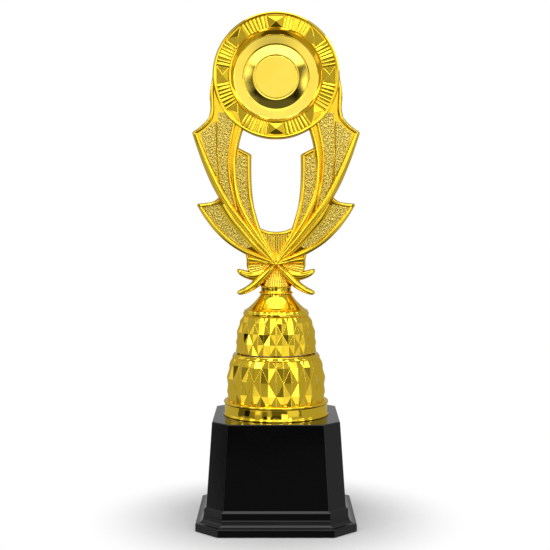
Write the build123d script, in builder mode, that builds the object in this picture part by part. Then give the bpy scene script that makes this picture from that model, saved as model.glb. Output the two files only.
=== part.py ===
"""Column trophy, 300 mm tall: black plinth, faceted column, winged figure with a round medallion.

Millimetres, +Z up, front towards -Y, origin at the centre of the underside.
A threaded rod runs up the axis. It ties plinth, column and figure together, and a nut under
the plinth's top wall clamps the stack, so the column and the figure can be turned about it.
"""

import os
from math import atan2, cos, degrees, radians, sin, sqrt

from build123d import *

# ---------------------------------------------------------------- driving dimensions
# Heights of the stack
RIM_Z = 0.2                # underside of the plinth's rim, just clear of the table
SLAB_TOP = 4.6             # top of the foot slab
COVE_TOP = 9.2             # top of the hollow moulding above the slab
BAND_TOP = 12.2            # top of the upright band
BODY_LOW = 13.3            # the sloping body starts here, above a chamfered ledge
PLINTH_TOP = 61.2          # column stands here
LOWER_TOP = 97.4           # deck between the two faceted tiers
UPPER_TOP = 119.7          # deck under the flared cap
CAP_TOP = 132.3            # the figure's collar turns on this face
COLLAR_TOP = 137.6         # the figure stands in the collar here
MEDALLION_Z = 261.8        # centre of the medallion
WALL = 2.0                 # moulded wall

# Plinth: square in plan with cut corners. Each level has a half width and the half length
# of its straight side.
SLAB_HALF, SLAB_FLAT = 45.8, 32.6
COVE_HALF, COVE_FLAT = 44.8, 32.1
BAND_HALF, BAND_FLAT = 41.0, 30.3
BODY_LOW_HALF, BODY_LOW_FLAT = 39.7, 29.7
BODY_HIGH_HALF, BODY_HIGH_FLAT = 36.6, 27.2
COVE_STEPS = 10
EDGE_ROUND = 0.6           # on the body's and the slab's outer edges
CHAMFER_LENGTH = 0.9       # on the ballast's rim
EDGE_BREAK = 0.4           # small chamfer on turned and threaded pieces
COVER_LOW, COVER_HIGH = 1.4, 3.2
COVER_GAP = 0.4
PAD_RADIUS, PAD_SPACING = 5.0, 66.0
BOSS_RADIUS, BOSS_SPACING = 4.0, 52.0
SCREW_RADIUS, PILOT_RADIUS, SCREW_HEAD_RADIUS, SCREW_TIP = 1.35, 1.4, 2.9, 13.0
BALLAST_RADIUS, BALLAST_BORE, BALLAST_HEIGHT = 31.5, 16.0, 12.0

# Tie rod and its fasteners, M5
ROD_RADIUS = 2.5
ROD_LOW, ROD_HIGH = 43.0, 146.0
CLEAR_RADIUS = 2.8         # clearance hole for the rod
GUIDE_RADIUS = 2.55        # running fit on the rod
NUT_FLATS, NUT_HEIGHT = 8.0, 4.0
WASHER_RADIUS, WASHER_HEIGHT = 7.5, 1.2
SPRING_RADIUS, SPRING_HEIGHT, SPRING_GAP = 4.3, 1.3, 1.0
CLAMP_FACE = 54.5          # underside of the boss that the washer bears on
CLAMP_BOSS_RADIUS = 10.5
CAPTIVE_NUT_Z = 139.6
NUT_CLEARANCE = 0.05
ROD_HOLE_TOP = 147.0       # the rod's end stays clear of this
SCREW_SLOT = 0.7           # width of the cross recess in a screw head

# Column: radii of the turned shapes
LIP_RADIUS, LIP_HEIGHT = 31.3, 0.8
BAND_RADIUS, BAND_HIGH, BAND_STEP = 30.6, 69.0, 0.6
LOWER_ROWS = [(75.4, 29.3), (83.1, 29.3), (91.4, 27.9)]
LOWER_EDGE = (95.4, 26.2)
DECK_RADIUS = 25.0
UPPER_FOOT_RADIUS = 23.6
UPPER_ROWS = [(104.2, 24.0), (110.2, 23.3), (116.4, 21.7)]
UPPER_EDGE = (119.2, 19.9)
UPPER_RIM_RADIUS = 19.5
ROW_DIP, UPPER_ROW_DIP = 0.9, 0.63    # depth of the valley between two rows of facets
CAP_RIM_RADIUS, CAP_RIM_HIGH = 19.2, 122.7
CAP_SHOULDER = (15.8, 123.9)
CAP_WAIST = (11.9, 127.6)
CAP_NECK_RADIUS = 9.3
CAP_NECK_RUN, CAP_SHOULDER_RUN = (0.05, -1), (1, -0.15)    # directions of the flare at its two ends
SPIGOT_RADIUS, SPIGOT_HEIGHT = 28.0, 1.5
FLANGE_RADIUS, FLANGE_HIGH, COLLAR_RADIUS = 10.05, 133.7, 8.9

# Figure: two mirrored halves that meet on the plane y = 0
HALF_DEPTH = 5.5           # depth of one half
PANEL_DEPTH = 1.0          # stippled panels lie this far below the borders
STEM_LOW_RADIUS, STEM_HIGH_RADIUS, STEM_TOP = 7.4, 5.6, 150.5
KNOT_Z, KNOT_RADIUS = 150.6, 7.0

# Medallion
MEDALLION_RADIUS = 37.5
BEZEL_BACK, BEZEL_FACE, BEZEL_LIP = -3.0, -6.0, -7.0
LIP_WIDTH, INNER_LIP_WIDTH, LIP_SLOPE = 1.6, 1.1, 0.4
BEZEL_THICKNESS = 0.8
RECESS_RADIUS = 27.0
SOCKET_RADIUS = 29.2
FIT_GAP = 0.1
DISH_RADIUS, DISH_FLOOR, DISH_WALL = 25.4, 4.0, 1.4
DISH_STEP_RADIUS, DISH_STEP = 19.7, 0.5
EMBLEM_RADIUS, EMBLEM_THICKNESS = 13.0, 0.6
STUD_COUNT, STUD_SIZE, STUD_HEIGHT, STUD_TIP = 8, 7.6, 2.2, 0.3
FLUTES_PER_GAP, FLUTE_WIDTH, FLUTE_DEPTH, FLUTE_INSET = 7, 1.0, 0.7, 0.4
BACK_FACE, BACK_RIM = 7.4, 6.4

# ---------------------------------------------------------------- figure outline, right-hand side
# Corners and run points as (x, z), from the collar up to the medallion.
STEM_FOOT = (STEM_LOW_RADIUS, COLLAR_TOP)
LOW_TAIL = [(9.3, 137.6), (13.3, 134.8), (17.3, 132.8), (21.7, 131.9), (23.2, 133.2), (22.2, 134.5),
            (18.4, 135.9), (13.5, 140.1)]
HIGH_TAIL = [(13.5, 140.1), (17.4, 141.9), (21.8, 144.3), (23.3, 146.2), (22.2, 147.4), (18.6, 146.4),
             (16.4, 145.6)]
BOW_LOOP = [(16.4, 145.6), (17.4, 151.0), (18.2, 156.1)]
LOW_FEATHER_EDGE = [(18.2, 156.1), (27.0, 161.1), (37.7, 171.5), (46.7, 184.9)]
LOW_FEATHER_TOP = [(46.7, 184.9), (41.0, 186.4), (34.2, 189.6)]
HIGH_FEATHER_EDGE = [(34.2, 189.6), (38.7, 198.0), (45.5, 214.8), (49.9, 227.7)]
HIGH_FEATHER_TOP = [(49.9, 227.7), (44.6, 232.2), (39.9, 237.2)]
SHOULDER = [(39.9, 237.2), (39.0, 243.0), (39.4, 251.0), (37.9, 262.6)]

# Opening between the wings
OPENING_FOOT = [(-9.7, 172.0), (0.0, 169.2), (9.7, 172.0)]
OPENING_SIDE = [(9.7, 172.0), (13.0, 184.0), (14.6, 200.0)]
OPENING_STEP = [(14.6, 200.0), (14.6, 215.1), (22.4, 219.2)]
OPENING_TOP = [(22.4, 219.2), (21.1, 224.3), (18.6, 232.0)]

# Stippled panels: corners of the sunk fields
OUTER_PANEL = [(35.2, 232.6), (42.8, 226.2), (35.3, 203.6)]
MAIN_PANEL = [(31.6, 238.5), (26.2, 231.6), (29.0, 212.0), (27.4, 193.5), (24.6, 184.2), (31.6, 203.0)]
INNER_PANEL = [(22.0, 213.6), (18.6, 212.4), (17.4, 190.0), (11.6, 167.6), (19.4, 186.0)]
LOW_PANEL = [(40.8, 182.4), (33.6, 184.4), (24.6, 170.6), (17.2, 161.2), (27.4, 167.4)]
FAN_PANEL = [(-7.6, 164.4), (7.6, 164.4), (0.0, 155.4)]

MEDALLION_AXIS = Axis((0, 0, MEDALLION_Z), (0, 1, 0))


def medallion_plane(y):
    """Plane across the medallion's axis at depth y, facing the front."""
    return Plane(origin=(0, y, MEDALLION_Z), x_dir=(1, 0, 0), z_dir=(0, -1, 0))


def cut_square(half, flat):
    """A square face with its corners cut, in the open sketch."""
    corners = [(-flat, -half), (flat, -half), (half, -flat), (half, flat),
               (flat, half), (-flat, half), (-half, flat), (-half, -flat)]
    return Polygon(*corners, align=None)


def tapered_block(low, high):
    """A block with eight flat sloping sides between two levels, each given as (z, half width, half flat)."""
    (low_z, low_half, low_flat), (high_z, high_half, high_flat) = low, high
    with BuildPart() as block:
        with BuildSketch(Plane.XY.offset(low_z)):
            cut_square(low_half, low_flat)
        extrude(amount=high_z - low_z)
        for turn in range(0, 360, 45):
            if turn % 90:
                low_reach, high_reach = (low_half + low_flat) / sqrt(2), (high_half + high_flat) / sqrt(2)
            else:
                low_reach, high_reach = low_half, high_half
            across, along = cos(radians(turn)), sin(radians(turn))
            slope = atan2(low_reach - high_reach, high_z - low_z)
            side = Plane(origin=(low_reach * across, low_reach * along, low_z),
                         z_dir=(cos(slope) * across, cos(slope) * along, sin(slope)))
            split(bisect_by=side, keep=Keep.BOTTOM)
    return block.part


def rounded_body():
    """The plinth's sloping body, with its upright edges and its top edge rounded."""
    with BuildPart() as body:
        add(tapered_block((BODY_LOW, BODY_LOW_HALF, BODY_LOW_FLAT),
                          (PLINTH_TOP, BODY_HIGH_HALF, BODY_HIGH_FLAT)))
        fillet(body.edges().group_by(Axis.Z)[1:], radius=EDGE_ROUND)
    return body.part


def cove_level(step):
    """Level of the hollow moulding, a quarter circle stepped into flat bands."""
    turn = radians(90 * step / COVE_STEPS)
    return (SLAB_TOP + (COVE_TOP - SLAB_TOP) * (1 - cos(turn)),
            COVE_HALF - (COVE_HALF - BAND_HALF) * sin(turn), COVE_FLAT - (COVE_FLAT - BAND_FLAT) * sin(turn))


def faceted_side(foot, rows, edge, dip):
    """Radius and height pairs up a tier: one crest per row of facets and a valley between rows."""
    side = [foot]
    for (z_low, r_low), (z_high, r_high) in zip(rows, rows[1:]):
        side += [(r_low, z_low), ((r_low + r_high) / 2 - dip, (z_low + z_high) / 2)]
    side += [(rows[-1][1], rows[-1][0]), (edge[1], edge[0])]
    return side


def turned(points, wall_points, part_axis=Axis.Z, plane=Plane.XZ):
    """Revolve a closed section, given by its outer points and its inner points back down."""
    with BuildSketch(plane) as section:
        with BuildLine():
            Polyline(*points, *wall_points, close=True)
        make_face()
    return revolve(section.sketch, axis=part_axis)


# ---------------------------------------------------------------- plinth
with BuildPart() as pedestal_shell:
    with BuildSketch(Plane.XY.offset(RIM_Z)):
        cut_square(SLAB_HALF, SLAB_FLAT)
    extrude(amount=SLAB_TOP - RIM_Z)
    slab_edges = edges().filter_by(Axis.Z) + edges().group_by(Axis.Z)[-1]
    fillet(slab_edges, radius=EDGE_ROUND)
    for step in range(COVE_STEPS):
        add(tapered_block(cove_level(step), cove_level(step + 1)))
    with BuildSketch(Plane.XY.offset(COVE_TOP)):
        cut_square(BAND_HALF, BAND_FLAT)
    extrude(amount=BAND_TOP - COVE_TOP)
    add(tapered_block((BAND_TOP, BAND_HALF, BAND_FLAT), (BODY_LOW, BODY_LOW_HALF, BODY_LOW_FLAT)))
    add(rounded_body())
    # inside: a pocket for the cover, then the hollow of the body
    with BuildSketch(Plane.XY.offset(RIM_Z)):
        cut_square(SLAB_HALF - WALL, SLAB_FLAT - WALL / 2)
    extrude(amount=COVER_HIGH - RIM_Z, mode=Mode.SUBTRACT)
    with BuildSketch(Plane.XY.offset(COVER_HIGH)):
        cut_square(BODY_LOW_HALF - WALL, BODY_LOW_FLAT - WALL / 2)
    extrude(amount=BAND_TOP - COVER_HIGH, mode=Mode.SUBTRACT)
    hollow = tapered_block((BAND_TOP, BODY_LOW_HALF - WALL, BODY_LOW_FLAT - WALL / 2),
                           (PLINTH_TOP - WALL, BODY_HIGH_HALF - WALL, BODY_HIGH_FLAT - WALL / 2))
    add(hollow, mode=Mode.SUBTRACT)
    # screw bosses and the boss that the rod's washer bears on
    with BuildSketch(Plane.XY.offset(COVER_HIGH)):
        with GridLocations(BOSS_SPACING, BOSS_SPACING, 2, 2):
            Circle(BOSS_RADIUS)
            Circle(PILOT_RADIUS, mode=Mode.SUBTRACT)
    extrude(amount=PLINTH_TOP - WALL - COVER_HIGH)
    with BuildSketch(Plane.XY.offset(CLAMP_FACE)):
        Circle(CLAMP_BOSS_RADIUS)
    extrude(amount=PLINTH_TOP - WALL - CLAMP_FACE)
    # ring that centres the column on the plinth
    with BuildSketch(Plane.XY.offset(PLINTH_TOP)):
        Circle(SPIGOT_RADIUS)
        Circle(SPIGOT_RADIUS - WALL, mode=Mode.SUBTRACT)
    extrude(amount=SPIGOT_HEIGHT)
    with BuildSketch(Plane.XY.offset(CLAMP_FACE)):
        Circle(CLEAR_RADIUS)
    extrude(amount=PLINTH_TOP - CLAMP_FACE, mode=Mode.SUBTRACT)
pedestal_shell.part.label = "pedestal_shell"

with BuildPart() as bottom_cover:
    with BuildSketch(Plane.XY.offset(COVER_LOW)):
        cut_square(SLAB_HALF - WALL - COVER_GAP, SLAB_FLAT - WALL / 2 - COVER_GAP / 2)
    extrude(amount=COVER_HIGH - COVER_LOW)
    with Locations(Plane.XY.offset(COVER_LOW).rotated((180, 0, 0))):
        with GridLocations(BOSS_SPACING, BOSS_SPACING, 2, 2):
            CounterSinkHole(radius=SCREW_RADIUS + FIT_GAP, depth=COVER_HIGH - COVER_LOW,
                            counter_sink_radius=SCREW_HEAD_RADIUS + FIT_GAP)
bottom_cover.part.label = "bottom_cover"

with BuildPart() as ballast_weight:
    with BuildSketch(Plane.XY.offset(COVER_HIGH)):
        Circle(BALLAST_RADIUS)
        Circle(BALLAST_BORE, mode=Mode.SUBTRACT)
    extrude(amount=BALLAST_HEIGHT)
    chamfer(edges().group_by(Axis.Z)[-1], length=CHAMFER_LENGTH)
ballast_weight.part.label = "ballast_weight"

with BuildPart() as cover_screws:
    head_depth = SCREW_HEAD_RADIUS - SCREW_RADIUS
    with BuildSketch(Plane.XY.offset(COVER_LOW)):
        with GridLocations(BOSS_SPACING, BOSS_SPACING, 2, 2):
            Circle(SCREW_HEAD_RADIUS)
    extrude(amount=head_depth, taper=45)
    with BuildSketch(Plane.XY.offset(COVER_LOW)):
        with GridLocations(BOSS_SPACING, BOSS_SPACING, 2, 2):
            Circle(SCREW_RADIUS)
    extrude(amount=SCREW_TIP - COVER_LOW)
    with BuildSketch(Plane.XY.offset(COVER_LOW)):
        with GridLocations(BOSS_SPACING, BOSS_SPACING, 2, 2):
            Rectangle(SCREW_RADIUS * 2, SCREW_SLOT)
            Rectangle(SCREW_SLOT, SCREW_RADIUS * 2)
    extrude(amount=head_depth / 2, mode=Mode.SUBTRACT)
cover_screws.part.label = "cover_screws"

with BuildPart() as foot_pads:
    with BuildSketch():
        with GridLocations(PAD_SPACING, PAD_SPACING, 2, 2):
            Circle(PAD_RADIUS)
    extrude(amount=COVER_LOW)
foot_pads.part.label = "foot_pads"

# ---------------------------------------------------------------- column
with BuildPart() as column_lower_tier:
    outside = [(LIP_RADIUS, PLINTH_TOP), (BAND_RADIUS, PLINTH_TOP + LIP_HEIGHT), (BAND_RADIUS, BAND_HIGH),
               *faceted_side((LOWER_ROWS[0][1] - ROW_DIP, BAND_HIGH + BAND_STEP),
                             LOWER_ROWS, LOWER_EDGE, ROW_DIP),
               (DECK_RADIUS, LOWER_TOP), (CLEAR_RADIUS, LOWER_TOP)]
    inside = [(CLEAR_RADIUS, LOWER_TOP - WALL), (LOWER_EDGE[1] - WALL - ROW_DIP, LOWER_TOP - WALL),
              (LOWER_ROWS[-1][1] - WALL - ROW_DIP, LOWER_ROWS[-1][0]),
              (LOWER_ROWS[0][1] - WALL - ROW_DIP, BAND_HIGH),
              (BAND_RADIUS - WALL, BAND_HIGH - WALL), (BAND_RADIUS - WALL, PLINTH_TOP)]
    turned(outside, inside)
column_lower_tier.part.label = "column_lower_tier"

with BuildPart() as column_upper_tier:
    outside = [*faceted_side((UPPER_FOOT_RADIUS, LOWER_TOP), UPPER_ROWS, UPPER_EDGE, UPPER_ROW_DIP),
               (UPPER_RIM_RADIUS, UPPER_TOP), (CLEAR_RADIUS, UPPER_TOP)]
    inside = [(CLEAR_RADIUS, UPPER_TOP - WALL), (UPPER_EDGE[1] - WALL, UPPER_TOP - WALL),
              (UPPER_ROWS[1][1] - WALL - ROW_DIP, UPPER_ROWS[1][0]), (UPPER_FOOT_RADIUS - WALL, LOWER_TOP)]
    turned(outside, inside)
column_upper_tier.part.label = "column_upper_tier"

with BuildPart() as column_cap:
    with BuildSketch(Plane.XZ):
        with BuildLine():
            Polyline((GUIDE_RADIUS, CAP_TOP), (CAP_NECK_RADIUS, CAP_TOP))
            Spline((CAP_NECK_RADIUS, CAP_TOP), CAP_WAIST, CAP_SHOULDER, 
                   tangents=[CAP_NECK_RUN, CAP_SHOULDER_RUN])
            Polyline(CAP_SHOULDER, (CAP_RIM_RADIUS, CAP_RIM_HIGH), (CAP_RIM_RADIUS, UPPER_TOP),
                     (CAP_RIM_RADIUS - WALL, UPPER_TOP), (CAP_RIM_RADIUS - WALL, CAP_RIM_HIGH - WALL / 2),
                     (CAP_NECK_RADIUS - WALL / 2, CAP_RIM_HIGH - WALL / 2),
                     (CAP_NECK_RADIUS - WALL / 2, UPPER_TOP), (GUIDE_RADIUS, UPPER_TOP),
                     (GUIDE_RADIUS, CAP_TOP))
        make_face()
    revolve(axis=Axis.Z)
column_cap.part.label = "column_cap"

# ---------------------------------------------------------------- tie rod and fasteners
with BuildPart() as tie_rod:
    with BuildSketch(Plane.XY.offset(ROD_LOW)):
        Circle(ROD_RADIUS)
    extrude(amount=ROD_HIGH - ROD_LOW)
    chamfer(edges(), length=EDGE_BREAK)
tie_rod.part.label = "tie_rod"

with BuildPart() as clamp_washer:
    with BuildSketch(Plane.XY.offset(CLAMP_FACE - WASHER_HEIGHT)):
        Circle(WASHER_RADIUS)
        Circle(GUIDE_RADIUS + FIT_GAP, mode=Mode.SUBTRACT)
    extrude(amount=WASHER_HEIGHT)
clamp_washer.part.label = "clamp_washer"

SPRING_LOW = CLAMP_FACE - WASHER_HEIGHT - SPRING_HEIGHT
with BuildPart() as spring_washer:
    with BuildSketch(Plane.XY.offset(SPRING_LOW)):
        Circle(SPRING_RADIUS)
        Circle(GUIDE_RADIUS + FIT_GAP, mode=Mode.SUBTRACT)
        with Locations(((SPRING_RADIUS + GUIDE_RADIUS) / 2, 0)):
            Rectangle(SPRING_RADIUS, SPRING_GAP, mode=Mode.SUBTRACT)
    extrude(amount=SPRING_HEIGHT)
spring_washer.part.label = "spring_washer"

with BuildPart() as clamp_nut:
    with BuildSketch(Plane.XY.offset(SPRING_LOW - NUT_HEIGHT)):
        RegularPolygon(radius=NUT_FLATS / 2, side_count=6, major_radius=False)
        Circle(ROD_RADIUS + FIT_GAP / 2, mode=Mode.SUBTRACT)
    extrude(amount=NUT_HEIGHT)
clamp_nut.part.label = "clamp_nut"

with BuildPart() as captive_nut:
    with BuildSketch(Plane.XY.offset(CAPTIVE_NUT_Z)):
        RegularPolygon(radius=NUT_FLATS / 2, side_count=6, major_radius=False)
        Circle(ROD_RADIUS + FIT_GAP / 2, mode=Mode.SUBTRACT)
    extrude(amount=NUT_HEIGHT)
captive_nut.part.label = "captive_nut"

# ---------------------------------------------------------------- figure
with BuildPart() as neck_collar:
    with BuildSketch(Plane.XZ):
        with BuildLine():
            Polyline((CLEAR_RADIUS, CAP_TOP), (FLANGE_RADIUS - EDGE_BREAK, CAP_TOP),
                     (FLANGE_RADIUS, CAP_TOP + EDGE_BREAK), (FLANGE_RADIUS, FLANGE_HIGH - EDGE_BREAK),
                     (FLANGE_RADIUS - EDGE_BREAK, FLANGE_HIGH), (COLLAR_RADIUS, FLANGE_HIGH),
                     (COLLAR_RADIUS, COLLAR_TOP - EDGE_BREAK), (COLLAR_RADIUS - EDGE_BREAK, COLLAR_TOP),
                     (CLEAR_RADIUS, COLLAR_TOP), close=True)
        make_face()
    revolve(axis=Axis.Z)
neck_collar.part.label = "neck_collar"


def wing_outline():
    """Outline of both wings, bow and stem as one face on the plane y = 0."""
    with BuildSketch(Plane.XZ) as outline:
        with BuildLine():
            foot = Line((0, STEM_FOOT[1]), STEM_FOOT)
            Line(STEM_FOOT, LOW_TAIL[0])
            Polyline(*LOW_TAIL)
            Polyline(*HIGH_TAIL)
            ThreePointArc(*BOW_LOOP)
            Spline(*LOW_FEATHER_EDGE)
            ThreePointArc(*LOW_FEATHER_TOP)
            Spline(*HIGH_FEATHER_EDGE)
            ThreePointArc(*HIGH_FEATHER_TOP)
            Spline(*SHOULDER)
            Polyline(SHOULDER[-1], (0, MEDALLION_Z), foot @ 0)
        make_face()
        mirror(about=Plane.YZ)
        with Locations((0, MEDALLION_Z)):
            Circle(MEDALLION_RADIUS)
    return outline.sketch


def opening_outline():
    """Outline of the opening between the wings, closed behind the medallion."""
    with BuildSketch(Plane.XZ) as opening:
        with BuildLine():
            ThreePointArc(*OPENING_SIDE)
            Polyline(*OPENING_STEP)
            ThreePointArc(*OPENING_TOP)
            mirror(about=Plane.YZ)
            ThreePointArc(*OPENING_FOOT)
            Line(OPENING_TOP[-1], (-OPENING_TOP[-1][0], OPENING_TOP[-1][1]))
        make_face()
        with Locations((0, MEDALLION_Z)):
            Circle(MEDALLION_RADIUS, mode=Mode.SUBTRACT)
    return opening.sketch


OUTLINE = wing_outline()
OPENING = opening_outline()

with BuildPart() as figure_front:
    with BuildSketch(Plane.XZ):
        add(OUTLINE)
        add(OPENING, mode=Mode.SUBTRACT)
    extrude(amount=HALF_DEPTH)
    # sunk fields of the feathers and of the fluted fan
    with BuildSketch(Plane.XZ.offset(HALF_DEPTH)):
        for corners in (OUTER_PANEL, MAIN_PANEL, INNER_PANEL, LOW_PANEL):
            with BuildLine():
                Polyline(*corners, close=True)
            make_face()
        mirror(about=Plane.YZ)
        with BuildLine():
            Polyline(*FAN_PANEL, close=True)
        make_face()
    extrude(amount=-PANEL_DEPTH, mode=Mode.SUBTRACT)
    # stem, a cone about the axis, and the knot of the bow
    with BuildSketch(Plane.XY.offset(COLLAR_TOP)):
        Circle(STEM_LOW_RADIUS)
    with BuildSketch(Plane.XY.offset(STEM_TOP)):
        Circle(STEM_HIGH_RADIUS)
    loft()
    with Locations((0, 0, KNOT_Z)):
        Sphere(KNOT_RADIUS)
    # seat of the bezel and socket of the dish
    with BuildSketch(medallion_plane(BEZEL_BACK)):
        Circle(MEDALLION_RADIUS + FIT_GAP)
    extrude(amount=BACK_FACE, mode=Mode.SUBTRACT)
    with BuildSketch(medallion_plane(0)):
        Circle(SOCKET_RADIUS)
    extrude(amount=BACK_FACE, mode=Mode.SUBTRACT)
    # rod hole and nut pocket, half of each in either half
    with BuildSketch(Plane.XY.offset(COLLAR_TOP)):
        Circle(GUIDE_RADIUS)
    extrude(amount=ROD_HOLE_TOP - COLLAR_TOP, mode=Mode.SUBTRACT)
    with BuildSketch(Plane.XY.offset(CAPTIVE_NUT_Z - NUT_CLEARANCE)):
        RegularPolygon(radius=NUT_FLATS / 2 + NUT_CLEARANCE, side_count=6, major_radius=False)
    extrude(amount=NUT_HEIGHT + 2 * NUT_CLEARANCE, mode=Mode.SUBTRACT)
    split(bisect_by=Plane.XZ, keep=Keep.TOP)
figure_front.part.label = "figure_front"

with BuildPart() as figure_back:
    add(mirror(figure_front.part, about=Plane.XZ, mode=Mode.PRIVATE))
figure_back.part.label = "figure_back"

# ---------------------------------------------------------------- medallion
with BuildPart() as medallion_bezel:
    inner_lip, outer_lip = RECESS_RADIUS + INNER_LIP_WIDTH, MEDALLION_RADIUS - LIP_WIDTH
    inner_back = BEZEL_FACE + BEZEL_THICKNESS
    front = [(RECESS_RADIUS, BEZEL_LIP), (inner_lip, BEZEL_LIP), (inner_lip + LIP_SLOPE, BEZEL_FACE),
             (outer_lip - LIP_SLOPE, BEZEL_FACE), (outer_lip, BEZEL_LIP),
             (MEDALLION_RADIUS - EDGE_BREAK, BEZEL_LIP), (MEDALLION_RADIUS, BEZEL_LIP + EDGE_BREAK)]
    rear = [(MEDALLION_RADIUS, BEZEL_BACK), (SOCKET_RADIUS + FIT_GAP, BEZEL_BACK),
            (SOCKET_RADIUS + FIT_GAP, inner_back), (RECESS_RADIUS, inner_back)]
    turned(front, rear, MEDALLION_AXIS, Plane.XY.offset(MEDALLION_Z))
    flute_pitch = 360 / STUD_COUNT / (FLUTES_PER_GAP + 2)
    middle = (inner_lip + outer_lip) / 2
    with BuildSketch(medallion_plane(BEZEL_FACE)):
        for stud in range(STUD_COUNT):
            start = 360 / STUD_COUNT * stud + 1.5 * flute_pitch
            with PolarLocations(middle, FLUTES_PER_GAP, start_angle=start,
                                angular_range=flute_pitch * (FLUTES_PER_GAP - 1), endpoint=True):
                Rectangle(outer_lip - inner_lip - 2 * FLUTE_INSET, FLUTE_WIDTH)
    extrude(amount=-FLUTE_DEPTH, mode=Mode.SUBTRACT)
    stud_slope = degrees(atan2((STUD_SIZE - STUD_TIP) / 2, STUD_HEIGHT))
    with BuildSketch(medallion_plane(BEZEL_FACE)):
        with PolarLocations(middle, STUD_COUNT):
            Rectangle(STUD_SIZE, STUD_SIZE)
    extrude(amount=STUD_HEIGHT, taper=stud_slope)
medallion_bezel.part.label = "medallion_bezel"

with BuildPart() as medallion_dish:
    shoulder_y = BEZEL_FACE + BEZEL_THICKNESS + FIT_GAP
    front = [(EMBLEM_RADIUS, DISH_FLOOR), (DISH_STEP_RADIUS, DISH_FLOOR),
             (DISH_STEP_RADIUS, DISH_FLOOR - DISH_STEP),
             (DISH_RADIUS, DISH_FLOOR - DISH_STEP), (RECESS_RADIUS, shoulder_y)]
    rear = [(SOCKET_RADIUS - FIT_GAP, shoulder_y), (SOCKET_RADIUS - FIT_GAP, DISH_FLOOR + DISH_WALL),
            (0, DISH_FLOOR + DISH_WALL), (0, DISH_FLOOR)]
    turned(front, rear, MEDALLION_AXIS, Plane.XY.offset(MEDALLION_Z))
medallion_dish.part.label = "medallion_dish"

with BuildPart() as emblem_disc:
    with BuildSketch(medallion_plane(DISH_FLOOR)):
        Circle(EMBLEM_RADIUS)
    extrude(amount=EMBLEM_THICKNESS)
emblem_disc.part.label = "emblem_disc"

with BuildPart() as medallion_back:
    front = [(0, BACK_FACE - DISH_WALL), (SOCKET_RADIUS, BACK_FACE - DISH_WALL),
             (SOCKET_RADIUS + WALL, -BEZEL_BACK),
             (MEDALLION_RADIUS, -BEZEL_BACK)]
    rear = [(MEDALLION_RADIUS, BACK_RIM), (MEDALLION_RADIUS - LIP_WIDTH, BACK_RIM),
            (SOCKET_RADIUS, BACK_FACE - DISH_STEP), (DISH_STEP_RADIUS, BACK_FACE), (0, BACK_FACE)]
    turned(front, rear, MEDALLION_AXIS, Plane.XY.offset(MEDALLION_Z))
medallion_back.part.label = "medallion_back"

# ---------------------------------------------------------------- files
NODES = [pedestal_shell, bottom_cover, ballast_weight, cover_screws, foot_pads,
         column_lower_tier, column_upper_tier, column_cap,
         tie_rod, clamp_washer, spring_washer, clamp_nut, captive_nut, neck_collar,
         figure_front, figure_back, medallion_bezel, medallion_dish, emblem_disc, medallion_back]

os.makedirs("parts", exist_ok=True)
for node in NODES:
    export_step(node.part, f"parts/{node.part.label}.step")
    print(node.part.label, len(node.part.solids()), round(node.part.volume))
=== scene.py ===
"""Looks of the column trophy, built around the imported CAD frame. Lengths below are millimetres."""

import math
import random

import bmesh
import bpy
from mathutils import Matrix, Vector, geometry


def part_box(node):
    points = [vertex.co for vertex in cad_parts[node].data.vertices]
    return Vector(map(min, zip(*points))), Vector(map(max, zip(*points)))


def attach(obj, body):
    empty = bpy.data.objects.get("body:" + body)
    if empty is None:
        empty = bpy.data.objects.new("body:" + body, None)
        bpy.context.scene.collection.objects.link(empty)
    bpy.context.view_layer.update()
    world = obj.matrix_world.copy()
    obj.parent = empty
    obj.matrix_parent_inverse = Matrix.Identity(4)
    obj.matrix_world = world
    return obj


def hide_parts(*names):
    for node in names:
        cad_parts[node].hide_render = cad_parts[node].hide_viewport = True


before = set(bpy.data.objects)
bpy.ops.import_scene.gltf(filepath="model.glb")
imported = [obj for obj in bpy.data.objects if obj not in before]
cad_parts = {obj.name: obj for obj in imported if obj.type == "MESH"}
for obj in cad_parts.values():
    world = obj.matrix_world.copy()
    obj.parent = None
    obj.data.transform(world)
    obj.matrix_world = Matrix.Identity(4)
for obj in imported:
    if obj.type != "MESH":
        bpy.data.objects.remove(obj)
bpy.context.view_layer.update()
MM = 0.001
random.seed(7)


def box_mm(node):
    """Lowest and highest corner of a CAD node, in millimetres."""
    low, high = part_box(node)
    return low / MM, high / MM


# ------------------------------------------------------------------ sizes read from the frame
PLINTH_TOP = box_mm("column_lower_tier")[0].z
LOWER_TOP = box_mm("column_upper_tier")[0].z
UPPER_TOP = box_mm("column_cap")[0].z
CAP_TOP = box_mm("neck_collar")[0].z
COLLAR_TOP = box_mm("neck_collar")[1].z
BEZEL_LOW, BEZEL_HIGH = box_mm("medallion_bezel")
MEDALLION_Z = (BEZEL_LOW.z + BEZEL_HIGH.z) / 2
MEDALLION_RADIUS = (BEZEL_HIGH.z - BEZEL_LOW.z) / 2


# ------------------------------------------------------------------ mesh helpers
def mesh_object(name, bm, material, smooth_angle=None):
    """Turn a bmesh in millimetres into an object in metres with outward normals."""
    bmesh.ops.remove_doubles(bm, verts=bm.verts, dist=1e-4)
    bmesh.ops.recalc_face_normals(bm, faces=bm.faces)
    mesh = bpy.data.meshes.new(name)
    bm.to_mesh(mesh)
    bm.free()
    for vertex in mesh.vertices:
        vertex.co *= MM
    obj = bpy.data.objects.new(name, mesh)
    bpy.context.scene.collection.objects.link(obj)
    mesh.materials.append(material)
    if smooth_angle is not None:
        for polygon in mesh.polygons:
            polygon.use_smooth = True
        mesh.set_sharp_from_angle(angle=math.radians(smooth_angle))
    return obj


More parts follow.
